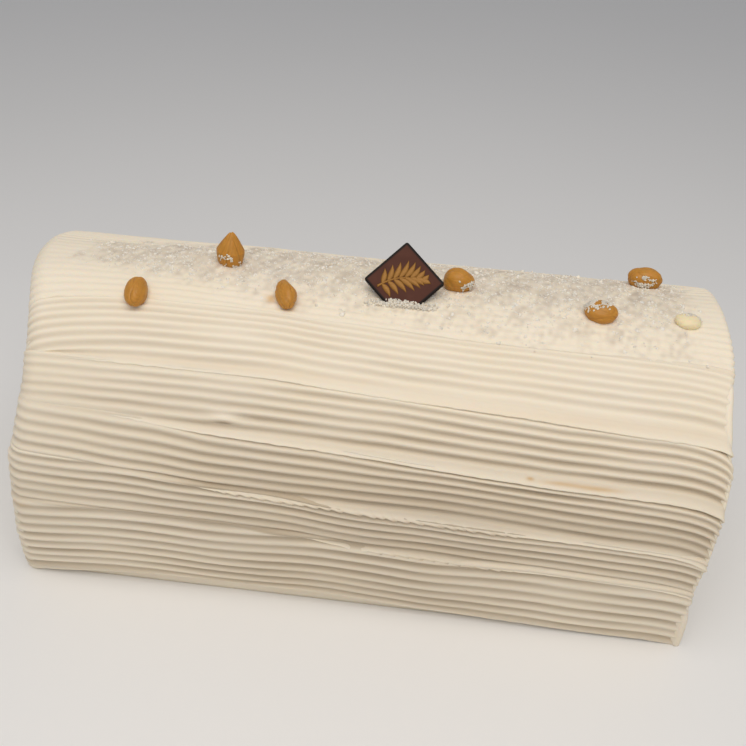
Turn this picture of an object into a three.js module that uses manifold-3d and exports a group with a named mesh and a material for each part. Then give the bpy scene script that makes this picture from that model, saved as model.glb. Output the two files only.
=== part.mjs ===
// A vacherin in the form of a log: meringue and ice cream under a coat of whipped cream, which is combed on
// lengthwise in overlapping ribbons. Crumbs of meringue, seven raisins and a small chocolate plaque lie on top.
// Millimetres, +Z up. The log runs along X, its shown side faces -Y, and its flat base lies on z = 0.

import * as THREE from "three";
import { mergeVertices } from "three/addons/utils/BufferGeometryUtils.js";
import Module from "manifold-3d";

const wasm = await Module();
wasm.setup();

// ---- driving dimensions of the log ----
const LENGTH = 248;
const WIDTH = 116;
const HEIGHT = 112;
const BASE_WIDTH = 107;
const WIDEST_AT = 45; // height at which the sides stand furthest out
const ROUNDNESS = 2.3; // 2 would be an elliptical top, more is squarer

// ---- driving dimensions of the ribbons of cream ----
// A lip is the lower edge of a ribbon: its distance along the surface from the crest at the left end, in the
// middle and at the right end. "ridges" is how many the comb draws on the ribbon that ends in the lip.
const TOP_RIDGES = 10;
const FRONT_RIBBONS = [
  { lip: [24, 27.5, 29] },
  { lip: [48, 50.7, 56], ridges: 5 },
  { lip: [65, 71, 77], ridges: 5 },
  { lip: [84, 94, 98], ridges: 5 },
  { lip: [105, 110, 114], ridges: 4 },
  { lip: [144, 139, 145], ridges: 6 },
];
const REAR_RIBBONS = [
  { lip: [28, 26, 24] },
  { lip: [53, 49, 48], ridges: 5 },
  { lip: [74, 71, 67], ridges: 5 },
  { lip: [95, 93, 88], ridges: 5 },
  { lip: [112, 111, 107], ridges: 4 },
  { lip: [145, 140, 144], ridges: 6 },
];
const GROOVE_DEPTH = 1.1;
const RIDGE_HEIGHT = 0.3;
const LIP_HEIGHT = 1.2;
const STRIP = 6; // smooth strip between the last groove and the lip
const TUCK = 0.6; // how far below a lip the next ribbon comes out from under it
const FOOT_RECESS = 3.2; // the foot of the log stands this far behind the lowest lip
const FOOT_GAP = 0.6;
const STATIONS = 19; // cross sections between the rounded ends

// ---- driving dimensions of the ends ----
// The left end is drawn in at its shoulders, more at the front than at the rear, between the foot, where the low
// ribbons start, and the crest. Its edge is rounder from the shoulders up.
const SHOULDER = { front: 8, rear: 3, from: 28, full: 88, until: 102 };
const LEFT_ROUND = { foot: 4, shoulder: 10, crest: 7 }; // radius of the left edge
const RIGHT_ROUND = 2;
const LEFT_TURN = [90, 62, 36, 14]; // degrees round the edge at which there is a cross section
const RIGHT_TURN = [25, 58, 90];
const END_BULGE = 1;

// ---- driving dimensions of what lies on top: x along the log, s along the surface from the crest ----
const CRUMB_ZONE = { left: -98, right: 114, rear: -27, front: [9, 24, 30] };
const CRUMBS = 62;
const CRUMB_RADIUS = [1.3, 2.6];
const CRUMB_SEED = 41;
const CLEARANCE = 0.3;

// length lies along the log before the turn about the upright axis; sink is how deep the raisin sits
const RAISINS = [
  { name: "raisin_1", x: -78.8, s: 22.7, size: [7.9, 12.2, 8], turn: 4, lean: 0, sink: 1.8 },
  { name: "raisin_2", x: -51.6, s: -1.7, size: [10.2, 9, 14.2], turn: 0, lean: 4, sink: 1.8 },
  { name: "raisin_3", x: -27.8, s: 17.1, size: [7.4, 13.2, 8], turn: 22, lean: 0, sink: 1.8 },
  { name: "raisin_4", x: 30.8, s: 1.2, size: [11, 9, 9.3], turn: -10, lean: 0, sink: 1.8 },
  { name: "raisin_5", x: 98.6, s: -17.7, size: [12.4, 9, 8.7], turn: -4, lean: 0, sink: 1.8 },
  { name: "raisin_6", x: 79.6, s: 11.2, size: [11.4, 9.3, 7.5], turn: -6, lean: 0, sink: 1.8 },
  { name: "raisin_7", x: 109.3, s: 10, size: [8.8, 7.3, 5.2], turn: 0, lean: 0, sink: 2.2 },
];
const RAISIN_FOLDS = 6;
const RAISIN_FOLD_DEPTH = 0.07;

const PLAQUE_SIDE = 19.8;
const PLAQUE_THICKNESS = 2.2;
const PLAQUE_BEVEL = 0.4;
// x and s are where its lower diagonal enters the cream, and sink is how far the corner goes in along it
const PLAQUE = { x: 12, s: 14.1, lean: 40, roll: 1.6, sink: 6.3 };

// ---- colours ----
const CREAM = 0xf1e5cd;
const AMBER = 0xb87020;
const PALE_AMBER = 0xdfc188;
const CHOCOLATE = 0x4a2f28;

const radians = THREE.MathUtils.degToRad;

function material(color, roughness) {
  return new THREE.MeshStandardMaterial({ color, roughness, metalness: 0 });
}

// A repeatable random number source between 0 and 1.
function randomSource(seed) {
  let state = seed;
  return () => {
    state = (state * 1664525 + 1013904223) % 4294967296;
    return state / 4294967296;
  };
}

// The parabola through three values given at -1, 0 and 1.
function through([left, middle, right], place) {
  const slope = (right - left) / 2;
  const bend = (right + left) / 2 - middle;
  return middle + slope * place + bend * place * place;
}

// Half the outline of the section, from the crest down to the foot, as points with their distance from the crest.
function halfOutline(steps = 240) {
  const points = [];
  for (let i = 0; i <= steps; i++) {
    const angle = (Math.PI / 2) * (1 - i / steps);
    const out = (WIDTH / 2) * Math.cos(angle) ** (2 / ROUNDNESS);
    const up = WIDEST_AT + (HEIGHT - WIDEST_AT) * Math.sin(angle) ** (2 / ROUNDNESS);
    points.push({ out, up });
  }
  for (let i = 1; i <= steps; i++) {
    const down = i / steps;
    const out = WIDTH / 2 - ((WIDTH - BASE_WIDTH) / 2) * down ** 2;
    points.push({ out, up: WIDEST_AT * (1 - down) });
  }
  let run = 0;
  points.forEach((p, i) => {
    if (i > 0) run += Math.hypot(p.out - points[i - 1].out, p.up - points[i - 1].up);
    p.run = run;
  });
  return points;
}

const OUTLINE = halfOutline();
const HALF_GIRTH = OUTLINE[OUTLINE.length - 1].run;

// The point of the outline at s from the crest (positive to the front), and the direction out of the surface.
function outlineAt(s) {
  const run = Math.min(Math.abs(s), HALF_GIRTH);
  const after = Math.min(Math.max(1, OUTLINE.findIndex((p) => p.run >= run)), OUTLINE.length - 1);
  const a = OUTLINE[after - 1];
  const b = OUTLINE[after];
  const part = (run - a.run) / (b.run - a.run);
  const side = s < 0 ? 1 : -1; // the front is at -Y
  const length = Math.hypot(b.out - a.out, b.up - a.up);
  return {
    y: side * (a.out + (b.out - a.out) * part),
    z: a.up + (b.up - a.up) * part,
    ny: (side * (a.up - b.up)) / length,
    nz: (b.out - a.out) / length,
  };
}

// How far the two ends reach, and the radius of their edges, at a height on the front (y < 0) or on the rear.
function endsAt(y, z) {
  const up = THREE.MathUtils.smoothstep(z, SHOULDER.from, SHOULDER.full);
  const overCrest = THREE.MathUtils.smoothstep(z, SHOULDER.until, HEIGHT);
  const depth = y < 0 ? SHOULDER.front : SHOULDER.rear;
  return {
    left: -LENGTH / 2 + depth * up * (1 - overCrest),
    right: LENGTH / 2,
    leftRadius:
      LEFT_ROUND.foot +
      (LEFT_ROUND.shoulder - LEFT_ROUND.foot) * up -
      (LEFT_ROUND.shoulder - LEFT_ROUND.crest) * overCrest,
    rightRadius: RIGHT_ROUND,
  };
}

// The combed profile of one side: [s, height] pairs from the top ribbon's lip down to the foot.
function sideProfile(ribbons, place) {
  const lips = ribbons.map((ribbon) => through(ribbon.lip, place));
  const profile = [[lips[0], LIP_HEIGHT]];
  for (let i = 1; i < ribbons.length; i++) {
    const start = lips[i - 1] + TUCK;
    const pitch = (lips[i] - STRIP - start) / ribbons[i].ridges;
    profile.push([start, -GROOVE_DEPTH]);
    for (let ridge = 0; ridge < ribbons[i].ridges; ridge++) {
      profile.push([start + (ridge + 0.5) * pitch, RIDGE_HEIGHT]);
      profile.push([start + (ridge + 1) * pitch, -GROOVE_DEPTH]);
    }
    profile.push([lips[i], LIP_HEIGHT]);
  }
  profile.push([lips[lips.length - 1] + FOOT_GAP, -FOOT_RECESS]);
  profile.push([HALF_GIRTH, -FOOT_RECESS]);
  return profile;
}

// The whole combed profile at a place from -1 (left end) to 1 (right end), from the rear foot to the front foot.
function wholeProfile(place) {
  const front = sideProfile(FRONT_RIBBONS, place);
  const rear = sideProfile(REAR_RIBBONS, place)
    .map(([s, height]) => [-s, height])
    .reverse();
  const from = rear[rear.length - 1][0];
  const pitch = (front[0][0] - from) / TOP_RIDGES;
  const top = [];
  for (let ridge = 0; ridge < TOP_RIDGES; ridge++) {
    top.push([from + (ridge + 0.3) * pitch, -GROOVE_DEPTH / 2]);
    top.push([from + (ridge + 0.7) * pitch, RIDGE_HEIGHT]);
  }
  return [...rear, ...top, ...front];
}

// One ring of vertices round the log. "turn" goes from 0 on the straight part to 90 degrees at the end face.
function ring(place, side, turn) {
  const profile = wholeProfile(place);
  return profile.map(([s, height], i) => {
    const { y, z, ny, nz } = outlineAt(s);
    const ends = endsAt(y, z);
    const radius = side < 0 ? ends.leftRadius : ends.rightRadius;
    const inset = radius * (1 - Math.cos(radians(turn)));
    const straightLeft = ends.left + ends.leftRadius;
    const straightRight = ends.right - ends.rightRadius;
    const x =
      straightLeft + ((place + 1) / 2) * (straightRight - straightLeft) + side * radius * Math.sin(radians(turn));
    const off = height * (1 - 0.5 * Math.sin(radians(turn))) - inset;
    const atFoot = i === 0 || i === profile.length - 1;
    return [x, y + off * ny, atFoot ? 0 : Math.max(0, z + off * Math.max(nz, 0))];
  });
}

// The combed log as one closed mesh: rings joined by triangles, with a fan on each end face.
function logGeometry() {
  const rings = LEFT_TURN.map((turn) => ring(-1, -1, turn));
  for (let i = 0; i < STATIONS; i++) rings.push(ring(-1 + (2 * i) / (STATIONS - 1), 1, 0));
  RIGHT_TURN.forEach((turn) => rings.push(ring(1, 1, turn)));
  const count = rings[0].length;
  const positions = rings.flat(2);
  const triangles = [];
  for (let r = 0; r < rings.length - 1; r++) {
    for (let i = 0; i < count; i++) {
      const a = r * count + i;
      const b = r * count + ((i + 1) % count);
      triangles.push(a, b, a + count, b, b + count, a + count);
    }
  }
  const last = (rings.length - 1) * count;
  const leftHub = rings.length * count;
  const rightHub = leftHub + 1;
  const middle = endsAt(0, WIDEST_AT);
  positions.push(middle.left - END_BULGE, 0, WIDEST_AT, middle.right + END_BULGE, 0, WIDEST_AT);
  for (let i = 0; i < count; i++) {
    const next = (i + 1) % count;
    triangles.push(leftHub, next, i);
    triangles.push(rightHub, last + i, last + next);
  }
  return closedGeometry(positions, triangles);
}

function closedGeometry(positions, triangles) {
  const geometry = new THREE.BufferGeometry();
  geometry.setAttribute("position", new THREE.BufferAttribute(new Float32Array(positions), 3));
  geometry.setIndex(triangles);
  return geometry;
}

// Only the positions of a geometry, with shared vertices merged.
function weld(geometry) {
  const bare = geometry.clone();
  bare.deleteAttribute("normal");
  bare.deleteAttribute("uv");
  return mergeVertices(bare, 1e-4);
}

function solid(geometry) {
  const welded = weld(geometry);
  const vertProperties = new Float32Array(welded.attributes.position.array);
  const triVerts = new Uint32Array(welded.index.array);
  return new wasm.Manifold(new wasm.Mesh({ numProp: 3, vertProperties, triVerts }));
}

function geometryOf(body) {
  const mesh = body.getMesh();
  return closedGeometry(mesh.vertProperties, Array.from(mesh.triVerts));
}

// The frame that stands on the log at x and s: its third axis points out of the surface.
function standOn(x, s, out) {
  const { y, z, ny, nz } = outlineAt(s);
  const tilt = new THREE.Matrix4().makeRotationX(Math.atan2(-ny, nz));
  return new THREE.Matrix4().makeTranslation(x, y + out * ny, z + out * nz).multiply(tilt);
}

// A raisin before it is placed: an ellipsoid with lengthwise folds that fade towards its tips.
function raisinGeometry({ size, x }, grow = 0) {
  const geometry = weld(new THREE.SphereGeometry(1, 14, 8));
  const position = geometry.attributes.position;
  const point = new THREE.Vector3();
  for (let i = 0; i < position.count; i++) {
    point.fromBufferAttribute(position, i);
    const around = Math.atan2(point.z, point.x);
    const girth = Math.hypot(point.x, point.z);
    const fold = 1 + RAISIN_FOLD_DEPTH * girth * Math.cos(RAISIN_FOLDS * around + x);
    point.multiplyScalar(fold);
    position.setXYZ(
      i,
      point.x * (size[0] / 2 + grow),
      point.y * (size[1] / 2 + grow),
      point.z * (size[2] / 2 + grow),
    );
  }
  return geometry;
}

function placedRaisin(raisin, grow = 0) {
  const spin = new THREE.Matrix4().makeRotationZ(radians(raisin.turn));
  const lean = new THREE.Matrix4().makeRotationY(radians(raisin.lean));
  const place = standOn(raisin.x, raisin.s, raisin.size[2] / 2 - raisin.sink);
  return raisinGeometry(raisin, grow).applyMatrix4(place.multiply(spin).multiply(lean));
}

// A square tablet with bevelled edges that stands on one corner and leans back.
function plaqueGeometry(grow = 0) {
  const half = PLAQUE_SIDE / 2 + grow - PLAQUE_BEVEL;
  const outline = new THREE.Shape();
  outline.moveTo(-half, -half);
  outline.lineTo(half, -half);
  outline.lineTo(half, half);
  outline.lineTo(-half, half);
  outline.closePath();
  const depth = PLAQUE_THICKNESS + 2 * grow - 2 * PLAQUE_BEVEL;
  const geometry = new THREE.ExtrudeGeometry(outline, {
    depth,
    bevelEnabled: true,
    bevelSegments: 1,
    bevelSize: PLAQUE_BEVEL,
    bevelThickness: PLAQUE_BEVEL,
  });
  geometry.translate(0, 0, -depth / 2);
  geometry.rotateZ(radians(45 + PLAQUE.roll));
  geometry.rotateX(radians(90 - PLAQUE.lean));
  const { y, z } = outlineAt(PLAQUE.s);
  const up = PLAQUE_SIDE / Math.SQRT2 - PLAQUE.sink;
  const lean = radians(PLAQUE.lean);
  return geometry.translate(PLAQUE.x, y + up * Math.sin(lean), z + up * Math.cos(lean));
}

// A crumb of meringue: an icosahedron, flattened and roughened, half sunk in the cream.
function crumbGeometry(random, x, s) {
  const radius = CRUMB_RADIUS[0] + (CRUMB_RADIUS[1] - CRUMB_RADIUS[0]) * random() ** 2;
  const geometry = weld(new THREE.IcosahedronGeometry(1, 0));
  const position = geometry.attributes.position;
  for (let i = 0; i < position.count; i++) {
    const rough = radius * (0.75 + 0.5 * random());
    position.setXYZ(i, position.getX(i) * rough, position.getY(i) * rough, position.getZ(i) * rough * 0.7);
  }
  const spin = new THREE.Matrix4().makeRotationZ(random() * 2 * Math.PI);
  return geometry.applyMatrix4(standOn(x, s, radius * 0.15).multiply(spin));
}

// Whether a crumb at x and s would touch a raisin or the plaque.
function isTaken(x, s) {
  const reach = CRUMB_RADIUS[1] * 1.25 + CLEARANCE;
  const byRaisin = RAISINS.some((r) => Math.hypot(x - r.x, s - r.s) < Math.max(...r.size) / 2 + reach);
  const byPlaque = Math.abs(x - PLAQUE.x) < PLAQUE_SIDE / Math.SQRT2 + reach && Math.abs(s - PLAQUE.s) < 8;
  return byRaisin || byPlaque;
}

// The largest of the bodies: a hollow that the crumbs close off is filled, and a loose scrap is dropped.
function largestBody(body) {
  return body.decompose().reduce((best, other) => (other.volume() > best.volume() ? other : best));
}

// The log with its crumbs fused on and a socket for each raisin and for the plaque.
function dressedLog() {
  let body = solid(logGeometry());
  const random = randomSource(CRUMB_SEED);
  let placed = 0;
  while (placed < CRUMBS) {
    const x = CRUMB_ZONE.left + (CRUMB_ZONE.right - CRUMB_ZONE.left) * random();
    const front = through(CRUMB_ZONE.front, (2 * x) / LENGTH);
    const s = CRUMB_ZONE.rear + (front - CRUMB_ZONE.rear) * random();
    if (isTaken(x, s)) continue;
    body = body.add(solid(crumbGeometry(random, x, s)));
    placed += 1;
  }
  for (const raisin of RAISINS) body = body.subtract(solid(placedRaisin(raisin, CLEARANCE)));
  return geometryOf(largestBody(body.subtract(solid(plaqueGeometry(CLEARANCE)))));
}

function named(name, geometry, finish) {
  const mesh = new THREE.Mesh(geometry, finish);
  mesh.name = name;
  return mesh;
}

const vacherin = new THREE.Group();
vacherin.add(named("log", dressedLog(), material(CREAM, 0.6)));
for (const raisin of RAISINS) {
  const finish = material(raisin.name === "raisin_7" ? PALE_AMBER : AMBER, 0.4);
  vacherin.add(named(raisin.name, placedRaisin(raisin), finish));
}
vacherin.add(named("plaque", weld(plaqueGeometry()), material(CHOCOLATE, 0.35)));

export default vacherin;
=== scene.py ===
"""A vacherin log: combed whipped cream over meringue and ice cream, with crumbs, raisins and a plaque.

Lengths are in millimetres until a mesh is made. t runs along the log from its middle. s runs round its
section from the crest, positive to the front, which faces -Y. off is the distance out of its surface.
"""
import math

import bpy
import numpy as np
from mathutils import Matrix, Vector


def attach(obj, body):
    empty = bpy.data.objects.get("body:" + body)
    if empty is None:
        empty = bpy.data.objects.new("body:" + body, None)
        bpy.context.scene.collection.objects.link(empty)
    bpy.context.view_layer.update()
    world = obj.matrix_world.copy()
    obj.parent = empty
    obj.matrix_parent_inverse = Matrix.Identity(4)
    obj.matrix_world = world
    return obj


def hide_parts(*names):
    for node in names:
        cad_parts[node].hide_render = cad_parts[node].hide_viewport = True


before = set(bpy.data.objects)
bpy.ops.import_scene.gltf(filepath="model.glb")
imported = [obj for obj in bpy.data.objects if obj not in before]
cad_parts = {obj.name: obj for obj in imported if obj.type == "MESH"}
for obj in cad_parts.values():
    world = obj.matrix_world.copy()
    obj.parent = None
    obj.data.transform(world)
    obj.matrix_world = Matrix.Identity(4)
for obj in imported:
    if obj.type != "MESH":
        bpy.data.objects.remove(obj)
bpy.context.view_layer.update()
MM = 0.001

# ----------------------------------------
# The camera and the room. The log lies on a pale table, seen from the front and from above, a little turned,
# under one large soft light overhead, a little to the front, in a pale room.

CAMERA_AT = (24.5, -282.8, 262.0)
CAMERA_LOOKS = (-0.06515, 0.82776, -0.55729)
CAMERA_ROLL = 0.056  # the camera is turned by this many radians about its own axis
CAMERA_LENS = 43.15
CAMERA_SENSOR = 36
LIGHT_AT = (0.03, -0.335, 0.75)  # in metres, like the next two and the floor
LIGHT_FACES = (0, 0, 0.06)
LIGHT_SIZE = 0.7
LIGHT_POWER = 4.1
LIGHT_COLOUR = "fffaf3"
ROOM_COLOUR = "fafbff"
ROOM_STRENGTH = 0.36
FLOOR_SIZE = 6.0
FLOOR_COLOURS = ("eeedeb", "f1f0ef")


def linear(colour):
    """sRGB hex to the linear colour that shaders take."""
    parts = np.array([int(colour[i:i + 2], 16) for i in (0, 2, 4)]) / 255
    low = parts / 12.92
    high = ((parts + 0.055) / 1.055) ** 2.4
    return (*np.where(parts <= 0.04045, low, high), 1.0)


def node(material, kind, settings=None, **links):
    """Adds a shader node of a kind. settings are its own properties. Each link sets the input of that name,
    or with a name such as _6 the input of that number, to a value or to a (node, output) pair."""
    tree = material.node_tree
    made = tree.nodes.new("ShaderNode" + kind)
    for name, value in (settings or {}).items():
        setattr(made, name, value)
    for name, value in links.items():
        socket = made.inputs[int(name[1:])] if name[1:].isdigit() else made.inputs[name.replace("_", " ")]
        if isinstance(value, tuple) and isinstance(value[0], bpy.types.Node):
            tree.links.new(value[0].outputs[value[1]], socket)
        else:
            socket.default_value = value
    return made


MIX = {"data_type": "RGBA"}  # settings of a Mix node: its inputs 6 and 7 and its output 2 are the colours
MULTIPLY = {"data_type": "RGBA", "blend_type": "MULTIPLY"}


def new_material(name):
    """An empty node material."""
    material = bpy.data.materials.new(name)
    material.use_nodes = True
    material.node_tree.nodes.clear()
    return material


def mottled(material, scale, detail, deep, light):
    """A noise on Object coordinates, and the tint that it mixes from deep to light."""
    place = node(material, "TexCoord")
    noise = node(material, "TexNoise", Vector=(place, "Object"), Scale=scale, Detail=detail)
    tint = node(material, "Mix", MIX, Factor=(noise, "Fac"), _6=linear(deep), _7=linear(light))
    return noise, tint


def show(material, shader):
    """Links the shader to an output node."""
    node(material, "OutputMaterial", Surface=(shader, "BSDF"))
    return material


# The camera's axes, worked out from the direction it looks in and its roll
forward = Vector(CAMERA_LOOKS).normalized()
right = forward.cross(Vector((0, 0, 1))).normalized()
up = right.cross(forward)
turned_right = right * math.cos(CAMERA_ROLL) + up * math.sin(CAMERA_ROLL)
turned_up = up * math.cos(CAMERA_ROLL) - right * math.sin(CAMERA_ROLL)
axes = Matrix((turned_right, turned_up, -forward)).transposed().to_4x4()
camera = bpy.data.objects.new("camera", bpy.data.cameras.new("camera"))
camera.data.lens = CAMERA_LENS
camera.data.sensor_width = CAMERA_SENSOR
camera.data.clip_start = 0.01
camera.matrix_world = Matrix.Translation(Vector(CAMERA_AT) * MM) @ axes
bpy.context.collection.objects.link(camera)
bpy.context.scene.camera = camera

half = FLOOR_SIZE / 2
mesh = bpy.data.meshes.new("floor")
corners = [(-half, -half, 0), (half, -half, 0), (half, half, 0), (-half, half, 0)]
mesh.from_pydata(corners, [], [(0, 1, 2, 3)])
floor = bpy.data.objects.new("floor", mesh)
bpy.context.collection.objects.link(floor)
table_top = new_material("painted_table_top")
_, tint = mottled(table_top, 3.0, 2.0, *FLOOR_COLOURS)
paint = node(table_top, "BsdfPrincipled", Base_Color=(tint, 2), Roughness=0.7)
mesh.materials.append(show(table_top, paint))

light = bpy.data.objects.new("overhead", bpy.data.lights.new("overhead", "AREA"))
light.data.size = LIGHT_SIZE
light.data.energy = LIGHT_POWER
light.data.color = linear(LIGHT_COLOUR)[:3]
light.location = LIGHT_AT
light.rotation_euler = (Vector(LIGHT_FACES) - Vector(LIGHT_AT)).to_track_quat("-Z", "Y").to_euler()
bpy.context.collection.objects.link(light)

world = bpy.data.worlds.new("room")
world.use_nodes = True
room = world.node_tree.nodes["Background"]
room.inputs["Color"].default_value = linear(ROOM_COLOUR)
room.inputs["Strength"].default_value = ROOM_STRENGTH
bpy.context.scene.world = world
bpy.context.scene.view_settings.view_transform = "Standard"

# ----------------------------------------
# The body of the log: meringue and ice cream frozen in a mould, whose form everything on it follows. It lies
# a few millimetres under the cream, as a smooth closed shell, and shows only behind the lowest ribbons.

WIDTH = 116.0
HEIGHT = 112.0
BASE_WIDTH = 107.0
WIDEST_AT = 45.0
ROUNDNESS = 2.3  # exponent of the superellipse over the widest point
# How far each end reaches from the middle at s. The left one is drawn in at the front shoulder.
LEFT_REACH = {-146: 125, -60: 126, -20: 128, 0: 126.2, 12: 122.6, 24: 118.9, 36: 116.6,
              50: 115.3, 62: 116, 75: 118.2, 90: 121.8, 105: 123.2, 120: 125.2, 146: 126.6}
RIGHT_REACH = {-146: 124, 20: 124, 32: 123.2, 44: 121.6, 56: 123, 64: 125, 72: 125.2,
               80: 124.8, 100: 124.6, 110: 123.6, 120: 123.3, 130: 124.1, 146: 125.4}
LEFT_WINDOW = 16.0  # mm of s over which the reach is rounded off
RIGHT_WINDOW = 12.0
LEFT_RADIUS = 8.0
RIGHT_RADIUS = 2.5
BODY_DEPTH = 3.2
BODY_COLUMNS = 200
BODY_ROWS = 90
BODY_TURN = 1.2  # radians by which the body bends round the edge of an end


def half_outline(steps=600):
    """Crest to foot: a quarter superellipse, then a side drawn in by a parabola, with the run along it."""
    angle = np.linspace(np.pi / 2, 0, steps)
    out = WIDTH / 2 * np.cos(angle) ** (2 / ROUNDNESS)
    up = WIDEST_AT + (HEIGHT - WIDEST_AT) * np.sin(angle) ** (2 / ROUNDNESS)
    down = np.linspace(0, 1, steps)[1:]
    out = np.concatenate([out, WIDTH / 2 - (WIDTH - BASE_WIDTH) / 2 * down ** 2])
    up = np.concatenate([up, WIDEST_AT * (1 - down)])
    run = np.concatenate([[0], np.cumsum(np.hypot(np.diff(out), np.diff(up)))])
    return out, up, run


OUT, UP, RUN = half_outline()
HALF_GIRTH = RUN[-1]
SLOPE_OUT = np.gradient(OUT, RUN)
SLOPE_UP = np.gradient(UP, RUN)


def smoothstep(value, low, high):
    """0 below low, 1 above high, and 3p^2 - 2p^3 of the part p in between."""
    part = np.clip((value - low) / (high - low), 0, 1)
    return part * part * (3 - 2 * part)


def section(s):
    """The section's point (y, z) at s and its unit normal there."""
    run = np.clip(np.abs(s), 0, HALF_GIRTH)
    side = np.where(s < 0, 1.0, -1.0)
    ny, nz = -side * np.interp(run, RUN, SLOPE_UP), np.interp(run, RUN, SLOPE_OUT)
    return side * np.interp(run, RUN, OUT), np.interp(run, RUN, UP), ny, nz


def smooth_line(line, where, window=24.0):
    """A line given as {place: value}, rounded off by its mean over a window round each place. A number is a
    level line."""
    line = line if isinstance(line, dict) else {0: line}
    offsets = window * np.linspace(-0.5, 0.5, 9)
    return np.interp(np.asarray(where)[..., None] + offsets, list(line), list(line.values())).mean(-1)


def ends(s, left):
    """How far an end reaches from the middle, and the radius of its edge, at s."""
    left_reach = smooth_line(LEFT_REACH, s, LEFT_WINDOW)
    right_reach = smooth_line(RIGHT_REACH, s, RIGHT_WINDOW)
    return np.where(left, left_reach, right_reach), np.where(left, LEFT_RADIUS, RIGHT_RADIUS)


def on_log(t, s, off):
    """Points at t, s and off. The section is carried along X. Past the straight part the surface bends over
    an edge of the end's radius, through the angle (t - straight) / radius, and then runs down the end."""
    t, s, off = np.broadcast_arrays(t, s, off)
    y, z, ny, nz = section(s)
    reach, radius = ends(s, t < 0)
    past = np.maximum(np.abs(t) - (reach - radius), 0)
    turn = np.minimum(past / radius, np.pi / 2)
    down_end = np.maximum(past - radius * np.pi / 2, 0)
    x = np.sign(t) * (np.minimum(np.abs(t), reach - radius) + (radius + off) * np.sin(turn))
    inward = radius * (1 - np.cos(turn)) + down_end - off * np.cos(turn)
    return np.stack([x, y - inward * ny, np.maximum(z - inward * np.maximum(nz, 0), 0)], -1)


def end_at(s, side, turn):
    """t at which the surface at s has bent through the angle turn over the edge of an end."""
    reach, radius = ends(s, side < 0)
    return side * (reach - radius + radius * turn)


def piece(name, points, faces, material, **marks):
    """A mesh object of points in mm and faces given as integer arrays of 3 or 4 columns, which rides on the
    body. Its faces are turned outwards: a mesh encloses a positive volume when they are. marks are numbers
    for each point that the material reads."""
    volume = sum(np.einsum("ij,ij->", points[f[:, 0]], np.cross(points[f[:, i]], points[f[:, i + 1]]))
                 for f in faces for i in range(1, f.shape[1] - 1))
    if volume < 0:
        faces = [f[:, ::-1] for f in faces]
    mesh = bpy.data.meshes.new(name)
    mesh.vertices.add(len(points))
    mesh.vertices.foreach_set("co", (points * MM).astype(np.float32).ravel())
    corners = np.concatenate([f.ravel() for f in faces])
    sizes = np.concatenate([np.full(len(f), f.shape[1]) for f in faces])
    mesh.loops.add(len(corners))
    mesh.loops.foreach_set("vertex_index", corners.astype(np.int32))
    mesh.polygons.add(len(sizes))
    mesh.polygons.foreach_set("loop_start", (np.cumsum(sizes) - sizes).astype(np.int32))
    mesh.polygons.foreach_set("use_smooth", np.full(len(sizes), True))
    mesh.update(calc_edges=True)
    for mark, values in marks.items():
        mesh.attributes.new(mark, "FLOAT", "POINT").data.foreach_set("value", values.astype(np.float32))
    mesh.materials.append(material)
    made = bpy.data.objects.new(name, mesh)
    bpy.context.collection.objects.link(made)
    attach(made, "root")
    return made


def rings_with_caps(points):
    """Faces of a stack of closed rings (rows, columns, 3), with a fan on the first and on the last ring."""
    rows, columns = points.shape[:2]
    index = np.arange(rows * columns).reshape(rows, columns)
    beside = np.roll(index, -1, 1)
    quads = np.stack([index[:-1], beside[:-1], beside[1:], index[1:]], -1).reshape(-1, 4)
    hubs = rows * columns
    first = np.stack([np.full(columns, hubs), beside[0], index[0]], -1)
    last = np.stack([np.full(columns, hubs + 1), index[-1], beside[-1]], -1)
    flat = np.concatenate([points.reshape(-1, 3), points[:1].mean(1), points[-1:].mean(1)])
    return flat, [quads, first, last]


CREAM_TINTS = ("f2e5cd", "f4e9d7")
# depth and dust are painted shade: in the grooves and under the lips, and among the crumbs. stain is the
# cream's own stain.
CREAM_MARKS = {"depth": "cdc6bd", "stain": "e4c28c", "dust": "c9c4c4"}


def whipped_cream(name):
    """Whipped cream: a dense foam of fat and air. Light enters it and comes out close by, which softens its
    ridges, and its fat gives it a broad, weak shine. It is darker by the attribute depth, painted shade in
    its grooves, under its lips and on its lowest ridges; tinted by stain, where caramel is smeared into it;
    and greyer by the attribute dust, painted shade among the crumbs and on the crest's rear side. Its tint
    has clouds of about 26 mm, and it has pores of 0.4 mm."""
    material = new_material(name)
    _, tint = mottled(material, 38.0, 3.0, *CREAM_TINTS)
    shade = (tint, 2)
    for mark, colour in CREAM_MARKS.items():
        amount = node(material, "Attribute", {"attribute_name": mark})
        mixed = node(material, "Mix", MULTIPLY, Factor=(amount, "Fac"), _6=shade, _7=linear(colour))
        shade = (mixed, 2)
    place = node(material, "TexCoord")
    pores = node(material, "TexNoise", Vector=(place, "Object"), Scale=2500.0, Detail=2.0)
    relief = node(material, "Bump", Height=(pores, "Fac"), Strength=0.10, Distance=0.0003)
    foam = node(material, "BsdfPrincipled", Base_Color=shade, Roughness=0.6, IOR=1.4,
                Subsurface_Weight=0.25, Subsurface_Radius=(1.0, 0.72, 0.45), Subsurface_Scale=0.0009,
                Normal=(relief, "Normal"))
    return show(material, foam)


cream = whipped_cream("whipped_cream")


def cream_piece(name, points, **marks):
    """A closed shell of rings made of cream, marked at each point from 0 to 1 with painted shade in its
    grooves and under its lips, its stains, and painted shade among its crumbs, where it has them. It stands
    for a part of the CAD node of the log."""
    marks = {mark: np.append(np.ravel(values), [0, 0]) for mark, values in marks.items()}
    made = piece(name, *rings_with_caps(points), cream, **marks)
    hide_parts("log")
    return made


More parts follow.
